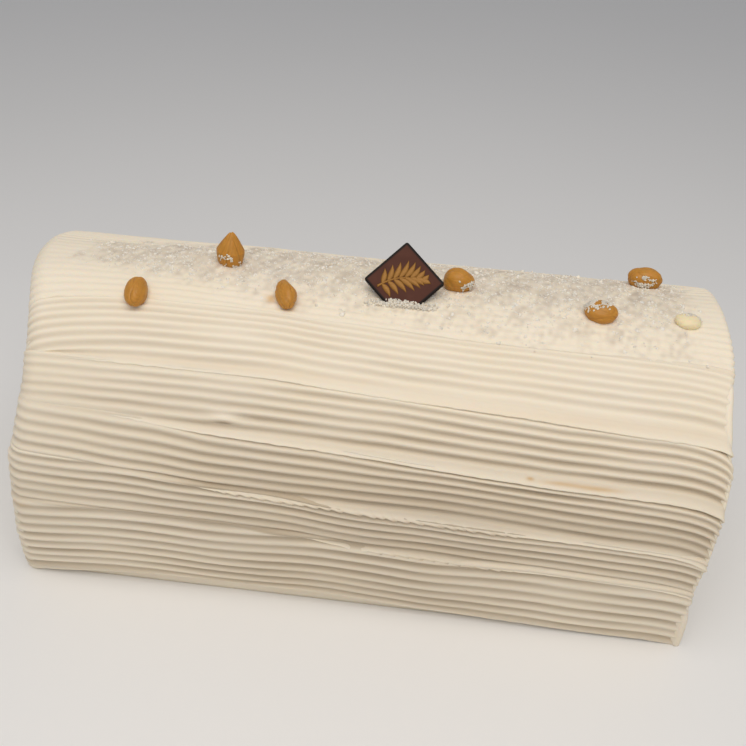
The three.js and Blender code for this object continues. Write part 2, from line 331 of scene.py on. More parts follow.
s = np.linspace(-HALF_GIRTH, HALF_GIRTH, BODY_COLUMNS)[None]
first = end_at(s, -1, BODY_TURN)
t = first + (end_at(s, 1, BODY_TURN) - first) * np.linspace(0, 1, BODY_ROWS)[:, None]
body = on_log(t, s, -BODY_DEPTH)
body[:, [0, -1], 2] = 0
cream_piece("log_body", body)

# ----------------------------------------
# The ends: a coat of the same cream, drawn smooth with a palette knife in broad upright strokes. The ribbons
# lie over its rim.

END_COLUMNS = 320
END_BASE_COLUMNS = 120
END_ROWS = 60
END_EDGE_ROWS = 24
END_TURN = 0.9  # radians before and past the edge's start between which the coat sinks
END_DIVE = 2.4  # how much deeper the coat's hidden edge lies than its rim
END_BULGE = 0.9
END_MIDDLE = 52.0  # height of the point from which the strokes' rows spread
STROKE_WIDTH = 24.0
STROKE_HEIGHT = 0.8
DRAG_WIDTH = 1.3
DRAG_HEIGHT = 0.07
LEFT_SINK = 0.9  # how far the coat's rim lies under the ribbons' surface
RIGHT_SINK = {32: 0.9, 38: -0.2, 52: -0.2, 58: 0.9, 122: 0.9, 130: -0.3}


def spots(*coordinates):
    """Coordinates put together as points."""
    return np.stack(np.broadcast_arrays(*coordinates), -1)


def waves(where, size, seed, count=24):
    """Soft random relief between about -1 and 1: a mean of sine waves in random directions, which are size
    to 2.5 size long. where holds points, or is a tuple of their coordinates."""
    if isinstance(where, tuple):
        where = spots(*where)
    random = np.random.default_rng(seed)
    heading = random.normal(size=(count, where.shape[-1]))
    heading /= np.linalg.norm(heading, axis=1, keepdims=True)
    heading *= 2 * np.pi / (size * random.uniform(1, 2.5, (count, 1)))
    return np.sin(where @ heading.T + random.uniform(0, 2 * np.pi, count)).mean(-1) * math.sqrt(count) * 0.7


def knife_strokes(y, z, seed):
    """Height of an end coat: upright bands that rise to a small ledge at one side, with fine drag lines."""
    across = (y + 3 * waves((y, z * 0.35), 40, seed)) / STROKE_WIDTH
    part = across - np.floor(across)
    ledge = STROKE_HEIGHT * part ** 5 * (0.6 + 0.4 * waves((y, z * 0.35), 15, seed + 2))
    lean = 0.5 * np.sin(2.1 * np.floor(across) + seed) * (part - 0.5)
    drag = DRAG_HEIGHT * waves((y, z * 0.06), DRAG_WIDTH, seed + 1)
    return ledge + lean + drag + 0.35 * waves((y, z * 0.35), 22, seed + 3)


def end_coat(name, side, seed, sink):
    """A closed shell over one end: rows run from its middle outwards, round the edge and back inside the
    body. Its rim lies by the line sink under the ribbons' surface."""
    s = np.linspace(-HALF_GIRTH, HALF_GIRTH, END_COLUMNS)
    turn = np.linspace(np.pi / 2, -END_TURN, END_EDGE_ROWS)[:, None]
    dive = smooth_line(sink, s, 6.0) + END_DIVE * np.clip((END_TURN - turn) / (2 * END_TURN), 0, 1) ** 1.5
    turned = on_log(end_at(s, side, turn), s, -dive)
    along_base = np.linspace(0, 1, END_BASE_COLUMNS + 2)[1:-1, None]
    base = turned[:, -1:] + (turned[:, :1] - turned[:, -1:]) * along_base
    turned = np.concatenate([turned, base], 1)
    rim = turned[0]
    centre = np.array([rim[:, 0].mean() + side * 0.5, 0, END_MIDDLE])
    share = np.linspace(0.02, 1, END_ROWS)[:, None, None]
    face = centre + (rim - centre) * share
    share = share[..., 0]
    strokes = (1 - share ** 8) * knife_strokes(face[..., 1], face[..., 2], seed)
    face[..., 0] += side * (END_BULGE * (1 - share ** 2) + strokes)
    inside = centre + (turned[-1] - centre) * np.array([0.9, 0.1])[:, None, None]
    inside[..., 0] = turned[-1][:, 0] - side * 3
    cream_piece(name, np.concatenate([face[:-1], turned, inside]))


end_coat("left_end_coat", -1, 5, LEFT_SINK)
end_coat("right_end_coat", 1, 9, RIGHT_SINK)

# ----------------------------------------
# The ribbons: whipped cream pressed through a flat toothed nozzle, which draws a ridge for each tooth. They
# are laid from the bottom up, and each covers the upper edge of the one below with its lower edge, the lip.

RIBBON_STEP = 0.6  # mm between stations along a ribbon
RIBBON_THICKNESS = 5.0
GROOVE_SHARPNESS = 1.05
GROOVE_VARIES = 0.25  # share by which a groove's depth changes along it
RIDGE_VARIES = 0.22  # mm by which a ridge's height does
# A groove's painted shade is full at this depth.
FULL_GROOVE = 1.1  # mm of depth at which a groove is at its darkest
STRIP_PARTS = np.linspace(0, 1, 13)[:-1]
RIDGE_PARTS = np.linspace(0, 1, 11)[:-1]
# Points round the lip, as mm across and out, and how much painted shade they and the points inside get
LIP_EDGE = np.array([[-0.15, -0.10], [-0.25, -0.35], [-0.15, -0.70], [0.3, -1.1], [1.6, -2.2], [3.5, -5.0]])
INNER_POINTS = 6
LIP_PAINTED_SHADE = [0, 0, 0.1, 0.3, 0.7, 1] + [0] * INNER_POINTS
UNDER_LIP = 2.4  # mm by which a ribbon dives under the lip of the one above
LEFT_END_TURN = math.radians(88)
RIGHT_END_TURN = math.radians(98)
FLAT_REACH = (4.0, 2.2)  # mm from the left and the right end over which the grooves run out
TUCK_REACH = (1.6, 0.5)  # mm over which the ends sink into the coat
TUCK = 2.8
LIP_TEAR = 0.12
FLAKE_LENGTH = 4.6
FLAKE_HEIGHT = 0.3
FLAKE_MOVE = 0.6


def at_ends(t, s, reach):
    """How near the left and the right end a point is: 1 at the end, falling as exp(-distance / reach)."""
    from_left = np.maximum(t - end_at(s, -1, LEFT_END_TURN), 0)
    from_right = np.maximum(end_at(s, 1, RIGHT_END_TURN) - t, 0)
    return np.exp(-from_left / reach[0]), np.exp(-from_right / reach[1])


def valley(part):
    """1 in a groove, at the parts 0 and 1 of the comb's pitch, and 0 on the ridge between: a cosine."""
    return ((1 + np.cos(2 * np.pi * part)) / 2) ** GROOVE_SHARPNESS


def hump(t, s, at):
    """A low round hump, exp(-distance^2) with distances in its own half lengths along t and s, times its
    height. at is its place along t and s, its two half lengths and its height."""
    middle_t, middle_s, length, width, height = at
    return height * np.exp(-((t - middle_t) / length) ** 2 - ((s - middle_s) / width) ** 2)


def tucked(off, t, s):
    """Heights off with the outer side sunk by TUCK at the very ends, where the ribbon runs into the coat."""
    near = np.maximum(*at_ends(t, s, TUCK_REACH))
    return np.where(off > -RIBBON_THICKNESS + 0.1, off * (1 - near) - TUCK * near, off)


def ribbon(name, side, lip, upper_lip, seed, strip, pitch, depth, lip_height, teeth=7, bottom=-1.0,
           top=0.0, tighten=0.03, fade=0, faint=(200, 300), pull=(0, 3), pull_reach=(6, 6), lift=0.0,
           flakes=(200, 300), flaps=(), painted_lip_shadow=0.1, shade=0.6, painted_low_shade=0, humps=(), stains=()):
    """One ribbon as a closed shell. Its profile runs down over the ridges to the lip, round the lip's thin
    edge and back inside, and is carried along the log. lip, upper_lip, strip, pitch, depth, lip_height,
    bottom, tighten, fade, gap and dulled are lines along the log, or numbers.
    The ridges lie on a back that is lowest at bottom, over the smooth strip, and rises to top under the
    ribbon above. There they lie closer by the share tighten, and their grooves are shallower by fade. The
    strip flares out to lip_height. The lowest groove fades between the places in faint, and the lip is torn
    between those in flakes. pull bends the ridges at the ends towards the lip, within pull_reach, and lift
    moves the left end up. The cream's mark depth holds painted shade: in the grooves, by their depth,
    between the torn flakes and in dents. gap is how much painted shadow falls under the lip above, shade how
    much painted shade the strip's upper edge gets, and dulled how much painted shade darkens the lowest
    ridges. A flap is a place, a length and how far the lip hangs."""
    parts = np.append((np.arange(teeth)[:, None] + RIDGE_PARTS).ravel(), teeth)[::-1]
    in_strip = np.concatenate([np.ones(len(parts)), STRIP_PARTS[::-1]])[None]
    over = np.concatenate([parts, np.zeros(len(STRIP_PARTS))])[None]

    rough_width = next(iter(strip.values())) * in_strip + next(iter(pitch.values())) * over
    left_lip, *_, right_lip = lip.values()
    first = end_at(side * (left_lip - rough_width), -1, LEFT_END_TURN)
    last = end_at(side * (right_lip - rough_width), 1, RIGHT_END_TURN)
    rows = int((last - first).max() / RIBBON_STEP)
    t = first + (last - first) * np.linspace(0, 1, rows)[:, None]

    strip_at, pitch_at, depth_at = smooth_line(strip, t), smooth_line(pitch, t), smooth_line(depth, t)
    w = strip_at * in_strip + pitch_at * over * (1 - smooth_line(tighten, t) * over)
    lip_at = smooth_line(lip, t) + 0.15 * waves((t,), 22.0, seed + 11)
    upper = lip_at - smooth_line(upper_lip, t)

    own_depth = 1 + GROOVE_VARIES * waves((t / 40.0, np.round(over) * 7.0), 1.0, seed + 2)
    own_depth *= np.where(over < 0.5, 1 - 0.75 * smoothstep(t, *faint), 1)
    from_groove = np.where(in_strip < 1, np.minimum(strip_at * (1 - in_strip) / pitch_at, 0.5), over)
    groove = depth_at * own_depth * valley(from_groove)
    own_height = RIDGE_VARIES * waves((t / 40.0, np.floor(over) * 5.0), 1.0, seed + 7)
    own_height *= 1 - valley(from_groove)
    rise = np.clip((w - strip_at) / np.maximum(upper - strip_at, 1), 0, 1.2)
    groove *= 1 - smooth_line(fade, t) * np.clip(rise, 0, 1)
    groove *= 1 - 0.85 * np.maximum(*at_ends(t, side * (lip_at - w), FLAT_REACH))
    bottom = smooth_line(bottom, t)
    flare = (smooth_line(lip_height, t) - bottom) * (1 - in_strip) ** 2 * np.clip(strip_at / 3, 0.15, 1)
    height = bottom + flare + (top - bottom) * rise ** 1.6 + own_height * (in_strip >= 1) - groove
    height += 0.02 * waves((t / 3, w), 1.2, seed + 3)
    height += 0.08 * waves((t / 4, w), 9.0, seed + 4)
    height -= UNDER_LIP * smoothstep(w, upper + 0.6, upper + 3.0)
    # Painted shade, kept in the cream's depth attribute: in the grooves, on the lowest ridges, under the lip
    # above and on the strip's upper edge.
    dull = smooth_line(painted_low_shade, t) * (1 - 0.8 * np.clip(rise, 0, 1)) * (in_strip >= 1)
    dark = 1 - (1 - np.clip(groove / FULL_GROOVE, 0, 1)) * (1 - dull)
    under = smooth_line(painted_lip_shadow, t)
    shadow = smoothstep(w, upper - 0.5 - 0.7 * under, upper + 0.3 - 0.7 * under)
    dark = np.maximum(dark, np.minimum(under, 1) * shadow)
    dark = np.maximum(dark, shade * in_strip * (in_strip < 1))

    torn = (1 - in_strip) ** 2
    crumbled = (1 - in_strip) ** 5
    scale = (t + strip_at * in_strip) / FLAKE_LENGTH + 0.5 * waves((t,), 14.0, seed + 12)
    ragged = smoothstep(t, flakes[0], flakes[0] + 15) * (1 - smoothstep(t, flakes[1] - 15, flakes[1]))
    flake = (scale - np.floor(scale)) * ragged
    height += FLAKE_HEIGHT * flake * crumbled
    # Painted shade between the torn flakes.
    dark = np.maximum(dark, (0.45 * ragged + 0.5 * smoothstep(flake, 0.6, 1)) * crumbled)
    near_left, near_right = at_ends(t, side * (lip_at - w), pull_reach)
    to_lip = np.clip(w / (1.5 * strip_at), 0, 1)
    bend = pull[0] * near_left * to_lip + pull[1] * near_right - lift * near_left
    wiggle = 0.03 * waves((t / 2, w), 4.0, seed + 5) + 0.12 * waves((t / 10, w / 5), 2.5, seed + 6)
    w = w - bend - wiggle - torn * (LIP_TEAR * waves((t,), 4.0, seed + 10) + FLAKE_MOVE * flake)
    for place, length, drop in flaps:
        w = w - torn * drop * np.exp(-((t - place) / length) ** 2)
    swell = sum(hump(t, lip_at - w, at) for at in humps) + np.zeros(w.shape)
    height += swell
    # Painted shade in dents, and less of it on humps.
    dark = np.maximum(dark, np.clip(-swell, 0, 1)) * (1 - np.clip(swell, 0, 1))
    stain = np.clip(sum(hump(t, lip_at - w, at) for at in stains) + np.zeros(w.shape), 0, 1)

    edge_t = np.repeat(t[:, -1:], len(LIP_EDGE) + INNER_POINTS, 1)
    edge_t[:, len(LIP_EDGE):] = t[:, np.linspace(t.shape[1] - 1, 0, INNER_POINTS).astype(int)]
    inner_w = w[:, np.linspace(w.shape[1] - 1, 0, INNER_POINTS).astype(int)]
    inner_w[:, 0] += LIP_EDGE[-1, 0]
    w = np.concatenate([w, w[:, -1:] + LIP_EDGE[:, 0], inner_w], 1)
    inner_off = np.full_like(inner_w, -RIBBON_THICKNESS)
    off = np.concatenate([height, height[:, -1:] + LIP_EDGE[:, 1], inner_off], 1)
    dark = np.concatenate([dark, np.broadcast_to(LIP_PAINTED_SHADE, edge_t.shape)], 1)
    stain = np.concatenate([stain, np.zeros(edge_t.shape)], 1)
    t = np.concatenate([t, edge_t], 1)
    off = tucked(off, t, side * (smooth_line(lip, t) - w))
    lip_all = np.concatenate([lip_at, np.repeat(lip_at[:, -1:], len(LIP_EDGE) + INNER_POINTS, 1)], 1)
    cream_piece(name, on_log(t, side * (lip_all - w), off), depth=dark, stain=stain)


TOP_LIP = {-124: 21, -56: 23, -16: 25.5, 24: 27.5, 64: 28.5, 124: 29}
LIP_4 = {-124: 48, -34: 48, -14: 49, 4: 50.7, 24: 51.3, 44: 52.2, 64: 53.2, 84: 54.5, 104: 55.3, 124: 56}
LIP_3 = {-124: 65, -86: 65.5, -56: 68.5, -16: 70.5, 4: 71.4, 24: 72.8, 44: 74.2, 64: 75.2, 84: 75.8,
         124: 76.5}
LIP_2 = {-124: 84, -106: 84.4, -86: 86, -66: 87.8, -40: 90.8, -10: 92.5, 30: 94.7, 75: 96.2, 124: 98}
LIP_1 = {-124: 105, -105: 105.2, -75: 105.7, -57: 106, -40: 106.2, -26: 107, -9: 108.8, 4: 111.2, 24: 111.2,
         44: 112.5, 84: 113.2, 124: 114.6}
LIP_0 = {-124: 145, -102: 143, -86: 139.8, -75: 139, -56: 138.7, -26: 138.4, 4: 139.6, 34: 141.9, 60: 143.2,
         90: 144.7, 124: 145}

ribbon("front_ribbon_1", 1, LIP_0, LIP_1,
       strip={-105: 4.2, -75: 2.8, -57: 1.4, -40: 0.7, -10: 2.9, 30: 2.0, 60: 3.6, 90: 2.7, 105: 3.6},
       pitch={-105: 4.0, -75: 3.95, -40: 3.95, -10: 4.15, 30: 4.35, 60: 4.8, 90: 5.0, 105: 4.85}, teeth=9,
       tighten=-0.016, depth={-86: 0.9, 0: 1.2, 90: 0.95}, lip_height=-0.8, bottom=-0.5, top=-0.1, lift=2.5,
       painted_lip_shadow={-100: 0.4, -75: 1, -20: 1, 10: 0.2}, shade=1.0, painted_low_shade={-75: 0, -20: 0.35, 40: 0.35, 75: 0},
       stains=[(-118, 107.5, 4, 1.5, 0.4)], seed=11)
ribbon("front_ribbon_2", 1, LIP_1, LIP_2, strip={-105: 0.2, -75: 0.3, -40: 0.3, -10: 1.3, 30: 2.6, 90: 1.9},
       pitch={-105: 4.15, -75: 4.25, -57: 3.85, -40: 4.0, -10: 3.75, 30: 3.55, 90: 3.8}, tighten=0.012,
       depth={-105: 0.75, -75: 1.0, 30: 1.3, 90: 1.1}, lip_height={-110: -0.2, -30: -0.1, 0: 0.0, 90: 0.05},
       bottom={-86: -0.4, -40: -0.6, 30: -0.8}, top=-0.1, pull=(0, 5), lift=3.0,
       painted_lip_shadow={-70: 0.1, -40: 1.3, 50: 1.6, 75: 0.8, 90: 0.3}, flakes=(0, 66), shade=1.0,
       painted_low_shade={-75: 0.2, -40: 0.5, 30: 0.65, 75: 0.35}, flaps=[(4, 2.5, 1.6)], humps=[(-125, 87, 5, 3, 1.4)],
       seed=12)
ribbon("front_ribbon_3", 1, LIP_2, LIP_3,
       strip={-105: 0.2, -75: 0.2, -57: 1.0, -40: 2.1, -10: 2.7, 30: 5.3, 75: 3.5, 90: 3.3},
       pitch={-105: 4.0, -75: 3.85, -57: 3.55, -40: 3.6, -10: 3.75, 30: 3.7, 90: 4.05},
       tighten={-105: 0, -57: -0.03, -40: -0.012, -10: -0.005, 30: 0.028},
       depth={-105: 0.75, -75: 1.15, -10: 1.4, 30: 1.5, 90: 1.25},
       lip_height={-80: 0.0, -40: 0.25, 30: 0.3, 90: 0.1}, fade={-105: 0.5, -40: 0.3, 30: 0.1},
       bottom={-90: -0.3, -60: -0.5, -40: -0.6, -10: -0.9}, top=-0.1, pull=(0, 7), lift=2.5,
       flakes=(-52, 66), shade=0.9, painted_low_shade={-75: 0.1, -40: 0.5, -10: 0.5, 30: 0.85, 75: 0.6}, seed=13)
ribbon("front_ribbon_4", 1, LIP_3, LIP_4, strip={-105: 0.3, -75: 1.2, -57: 2.9, -40: 3.3, 30: 5.1, 90: 5.4},
       pitch={-105: 3.55, -75: 3.75, -57: 3.95, -40: 4.0, 30: 3.8, 90: 3.65}, tighten=0.02,
       depth={-105: 0.45, -75: 0.7, -40: 1.0, 30: 1.2}, lip_height={-70: 0, -45: 0.05, 0: 0.1},
       bottom={-86: -0.6, -30: -0.9}, top=-0.15, fade={-86: 0.5, 30: 0.45}, faint=(-52, -88), pull=(0, 7),
       shade=0.5, painted_low_shade=0.15, humps=[(-43, 65.0, 4, 0.9, -1.2), (-43, 62.6, 6, 1.6, 0.9)],
       stains=[(70, 73.4, 7, 0.7, 0.55), (82, 73.9, 8, 0.8, 0.65), (60, 72.8, 1.2, 0.6, 0.8)], seed=14)
ribbon("front_ribbon_5", 1, LIP_4, TOP_LIP, strip={-86: 4.2, -40: 4.3, 30: 3.7, 90: 4.2},
       pitch={-86: 4.0, -40: 3.8, 30: 3.8, 90: 4.0}, teeth=8, depth={-86: 0.6, 30: 0.5}, fade=0.4,
       faint=(-40, 30), lip_height={-110: -0.3, -40: -0.25, 10: 0, 40: 0.2}, bottom=-0.5, pull=(11, 3),
       pull_reach=(18, 6), painted_lip_shadow={5: 0.1, 25: 0.5, 65: 0.45, 105: 0.2}, shade=0.2,
       stains=[(-120, 45, 1.5, 1.2, 0.6), (65, 52, 60, 2, 0.13), (-45, 46, 50, 1.5, 0.12)], seed=15)

REAR_TOP = {-124: 28, 0: 26, 124: 24}
REAR_4 = {-124: 53, -40: 50, 40: 48.5, 124: 48}
REAR_3 = {-124: 74, -30: 71.5, 50: 70, 124: 67}
REAR_2 = {-124: 95, -30: 94, 50: 91, 124: 88}
REAR_1 = {-124: 113, 0: 112, 124: 108}
REAR_0 = {-124: 145, -60: 142.5, 30: 141, 90: 143.5, 124: 145}

ribbon("rear_ribbon_1", -1, REAR_0, REAR_1, strip={-86: 4.6, 90: 3.8}, pitch={-86: 4.7, 90: 4.8}, teeth=8,
       tighten=0.01, depth=1.2, lip_height=0.1, bottom=-0.5, top=-0.2, lift=2.0, seed=21)
ribbon("rear_ribbon_2", -1, REAR_1, REAR_2, strip={-86: 3.8, 90: 4.4}, pitch={-86: 3.8, 90: 4.0}, teeth=6,
       depth=1.2, lip_height=0.3, top=-0.1, lift=3.0, seed=22)
ribbon("rear_ribbon_3", -1, REAR_2, REAR_3, strip={-86: 5.2, 0: 6.2, 90: 4.8}, pitch={-86: 3.9, 90: 3.8},
       depth=1.2, lip_height=0.3, lift=2.0, seed=23)
ribbon("rear_ribbon_4", -1, REAR_3, REAR_4, strip={-86: 5.0, 90: 4.4}, pitch={-86: 3.8, 90: 3.7},
       tighten=0.02, depth=1.1, lip_height=0.4, seed=24)
ribbon("rear_ribbon_5", -1, REAR_4, REAR_TOP, strip={-86: 5.0, 90: 4.4}, pitch={-86: 3.9, 90: 3.8}, teeth=8,
       depth=0.6, lip_height=0.2, bottom=-0.6, pull=(2, 2), seed=25)

# ----------------------------------------
# The top ribbon, laid last along the crest, with a lip on both sides. Its ridges are shallow, and along the
# middle they are pressed flat and roughened by the crumbs that were strewn on it.

TOP_RIDGES = 17
TOP_PARTS = np.linspace(0, 1, 11)[:-1]
TOP_DEPTH = 0.38
TOP_ROWS = 420
TOP_ROUGH_S = (-25, 27)  # its edges, near enough to find the log's ends there
TOP_PULL = 2  # mm by which its ridges bend to its edges at the log's ends
TOP_LEFT_PULL = 12  # and to the front edge at the left end
TOP_PULL_REACH = (18, 6)
CRUMB_LEFT = -107.0
CRUMB_RIGHT = 116.0
CRUMB_FRONT = {-112: 8, -94: 12, -54: 18, -14: 23, 26: 28, 66: 30, 116: 30}
CRUMB_REAR = {-106: 12, -60: 24, 20: 28, 116: 28}
TOP_STAINS = [(-33.0, 17.6, 1.6, 1.9, 0.8), (-75.0, 25.5, 3.5, 3.0, 0.4)]  # by the third and first raisin


def crumb_cover(t, s):
    """How thick the crumbs lie, from 0 outside their patch to 1 in its middle, with an uneven border."""
    front = smooth_line(CRUMB_FRONT, t)
    rear = smooth_line(CRUMB_REAR, t)
    border = np.minimum(t - CRUMB_LEFT, CRUMB_RIGHT - t) / 9.0
    inside = np.minimum(np.where(s > 0, front - s, rear + s) / 7.0, border)
    return np.clip(inside + 0.45 * waves((t, s), 8.0, 31) + 0.25 * waves((t, s), 3.0, 32), 0, 1)


def top_height(t, s):
    """Height of the top ribbon: shallow ridges, lips at its edges, and rough ground where the crumbs lie."""
    front = smooth_line(TOP_LIP, t)
    rear = smooth_line(REAR_TOP, t)
    over = (s + rear) / (front + rear) * TOP_RIDGES
    part = over - np.floor(over)
    calm = np.clip((np.abs(s) - 4) / 14, 0.25, 1)
    cover = crumb_cover(t, s)
    groove = TOP_DEPTH * calm * valley(part) * (1 - 0.5 * cover)
    lip = 0.15 * np.exp(-np.clip(np.minimum(front - s, rear + s), 0, None) / 2.5)
    bed = cover * (0.10 * waves((t, s / 1.6), 3.0, 42) + 0.16 * waves((t, s / 1.6), 7.0, 43) + 0.1)
    soft = 0.12 * waves((t / 3, s), 9.0, 44) + 0.3 * waves((t, s), 40.0, 45)
    return lip + bed + soft - groove


share = ((np.arange(TOP_RIDGES)[:, None] + TOP_PARTS).ravel() / TOP_RIDGES)[None]
share = np.concatenate([share, [[1.0]]], 1)
rough_s = TOP_ROUGH_S[0] + (TOP_ROUGH_S[1] - TOP_ROUGH_S[0]) * share
first = end_at(rough_s, -1, LEFT_END_TURN)
last = end_at(rough_s, 1, RIGHT_END_TURN)
t = first + (last - first) * np.linspace(0, 1, TOP_ROWS)[:, None]
front_lip = smooth_line(TOP_LIP, t) + 0.2 * waves((t,), 5.0, 46)
rear_lip = smooth_line(REAR_TOP, t) + 0.2 * waves((t,), 5.0, 47)
s = -rear_lip + (front_lip + rear_lip) * share
outer = top_height(t, s)
near_left, near_right = at_ends(t, s, TOP_PULL_REACH)
to_front, to_rear = np.clip(s / 20, 0, 1), np.clip(-s / 20, 0, 1)
bend = TOP_LEFT_PULL * near_left * to_front - TOP_PULL * near_left * to_rear
bend = bend + TOP_PULL * near_right * (to_front - to_rear)
s = s + bend + 0.15 * waves((t / 2, s), 4.0, 48)
edge = LIP_EDGE.T[:, None]
t = np.concatenate([t, np.repeat(t[:, -1:], len(LIP_EDGE), 1), np.repeat(t[:, :1], len(LIP_EDGE), 1)], 1)
s = np.concatenate([s, s[:, -1:] - edge[0], (s[:, :1] + edge[0])[:, ::-1]], 1)
off = np.concatenate([outer, outer[:, -1:] + edge[1], (outer[:, :1] + edge[1])[:, ::-1]], 1)
off = tucked(off, t, s)
# Painted shade among the crumbs: soft grey clouds, and more of it towards the crest's rear side, away from
# the light. It goes into the cream's dust attribute.
cloud = 0.25 * waves((t, s / 1.6), 2.0, 49) + 0.2 * waves((t, s / 1.6), 6.0, 50)
crumb_painted_shade = np.clip(crumb_cover(t, s) * (0.12 + 0.3 * smoothstep(-s, -14, 2) + cloud), 0, 0.9)
smear = np.clip(sum(hump(t, s, at) for at in TOP_STAINS), 0, 1)
cream_piece("top_ribbon", on_log(t, s, off), dust=crumb_painted_shade, stain=smear)

# ----------------------------------------
# The crumbs: meringue rubbed to flakes and strewn along the top. Each is a small irregular lump with flat
# breaks. They lie thinner towards the front.

CRUMB_KINDS = {
    "crumb_dust": dict(count=2500, radius=(0.16, 0.4), detail=0, lift=-0.1, seed=51),
    "fine_crumbs": dict(count=1500, radius=(0.35, 0.8), detail=1, lift=-0.45, seed=53),
    "coarse_crumbs": dict(count=900, radius=(0.7, 1.4), detail=1, lift=-0.6, seed=52),
}
CRUMB_TRIES = 5  # places tried for each crumb that is wanted


def ball(detail):
    """Corners and faces of an icosahedron whose faces are split detail times, its corners at distance 1."""
    golden = (1 + math.sqrt(5)) / 2
    corners = np.array([(a, b * golden, 0) for a in (-1, 1) for b in (-1, 1)])
    corners = np.concatenate([corners, np.roll(corners, 1, 1), np.roll(corners, 2, 1)])
    near = np.isclose(np.linalg.norm(corners[:, None] - corners[None], axis=-1), 2.0)
    faces = np.array([(a, b, c) for a in range(12) for b in range(a) for c in range(b)
                      if near[a, b] and near[b, c] and near[a, c]])
    corners /= np.linalg.norm(corners[0])
    for _ in range(detail):
        a, b, c = corners[faces].transpose(1, 0, 2)
        count = len(faces)
        corners = np.concatenate([a, b, c, a + b, b + c, c + a])
        corners /= np.linalg.norm(corners, axis=1, keepdims=True)
        i = np.arange(count)
        faces = np.concatenate([np.stack(f, 1) for f in (
            (i, i + 3 * count, i + 5 * count), (i + count, i + 4 * count, i + 3 * count),
            (i + 2 * count, i + 5 * count, i + 4 * count), (i + 3 * count, i + 4 * count, i + 5 * count))])
        _, first, back = np.unique(corners.round(6), axis=0, return_index=True, return_inverse=True)
        corners, faces = corners[first], back.reshape(-1)[faces]
    a, b, c = corners[faces].transpose(1, 0, 2)
    inwards = np.einsum("ij,ij->i", a, np.cross(b, c)) < 0
    faces[inwards] = faces[inwards][:, ::-1]
    return corners, faces


def random_turns(random, count):
    """Random rotation matrices, from random unit quaternions."""
    q = random.normal(size=(count, 4))
    w, x, y, z = (q / np.linalg.norm(q, axis=1, keepdims=True)).T
    turns = np.stack([1 - 2 * (y * y + z * z), 2 * (x * y - z * w), 2 * (x * z + y * w),
                      2 * (x * y + z * w), 1 - 2 * (x * x + z * z), 2 * (y * z - x * w),
                      2 * (x * z - y * w), 2 * (y * z + x * w), 1 - 2 * (x * x + y * y)], -1)
    return turns.reshape(-1, 3, 3)


def lumps(random, centres, radii, detail):
    """Many broken lumps as one mesh: balls made long and flat by chance, each corner moved, and turned."""
    corners, faces = ball(detail)
    count = len(centres)
    shape = random.uniform([0.8, 0.6, 0.4], [1.4, 1.0, 0.8], (count, 3))
    broken = random.uniform(0.8, 1.15, (count, len(corners), 1))
    local = corners[None] * broken * shape[:, None] * radii[:, None, None]
    placed = np.einsum("nij,nkj->nki", random_turns(random, count), local) + centres[:, None]
    steps = np.arange(count)[:, None, None] * len(corners)
    return placed.reshape(-1, 3), [(faces[None] + steps).reshape(-1, 3)]


def meringue(name, deep, light):
    """Baked meringue: a matt, dry, very light foam that breaks with chalky faces, whiter than the cream and
    darker where it is moist. It is dappled in spots of about 2.4 mm and has pores of about 0.3 mm."""
    material = new_material(name)
    place = node(material, "TexCoord")
    dapple = node(material, "TexNoise", Vector=(place, "Object"), Scale=420.0, Detail=2.0)
    patch = node(material, "MapRange", Value=(dapple, "Fac"), From_Min=0.35, From_Max=0.6)
    tint = node(material, "Mix", MIX, Factor=(patch, "Result"), _6=linear(deep), _7=linear(light))
    pores = node(material, "TexNoise", Vector=(place, "Object"), Scale=3500.0, Detail=1.0)
    relief = node(material, "Bump", Height=(pores, "Fac"), Strength=0.2, Distance=0.0002)
    foam = node(material, "BsdfPrincipled", Base_Color=(tint, 2), Roughness=0.8, IOR=1.35,
                Subsurface_Weight=0.4, Subsurface_Radius=(1.0, 0.85, 0.7), Subsurface_Scale=0.0008,
                Normal=(relief, "Normal"))
    return show(material, foam)


def crumb_piece(name, random, centres, radii, detail, material, stands_for):
    """Crumbs as one piece that stands for a part of the CAD node that they lie on."""
    crumbs = piece(name, *lumps(random, centres, radii, detail), material)
    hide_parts(stands_for)


broken_meringue = meringue("broken_meringue", "dfd5c7", "f6eee0")
for name, kind in CRUMB_KINDS.items():
    random = np.random.default_rng(kind["seed"])
    tries = kind["count"] * CRUMB_TRIES
    t = random.uniform(CRUMB_LEFT - 3, CRUMB_RIGHT + 2, tries)
    s = random.uniform(-30, 32, tries)
    sparse = 1 - 0.7 * smoothstep(s, 6, 18)
    kept = crumb_cover(t, s) ** 1.3 * sparse > random.uniform(0.02, 1, tries)
    t, s = t[kept][:kind["count"]], s[kept][:kind["count"]]
    least, most = kind["radius"]
    radii = least + random.uniform(0, 1, len(t)) ** 1.6 * (most - least)
    centres = on_log(t, s, top_height(t, s) + kind["lift"] * radii)
    crumb_piece(name, random, centres, radii, kind["detail"], broken_meringue, "log")

# ----------------------------------------
# The raisins: dried golden grapes, whose skin has shrunk into folds that run from tip to tip. They sit a
# little way into the cream, and crumbs stick to some. Sizes are along the log, across it and up.

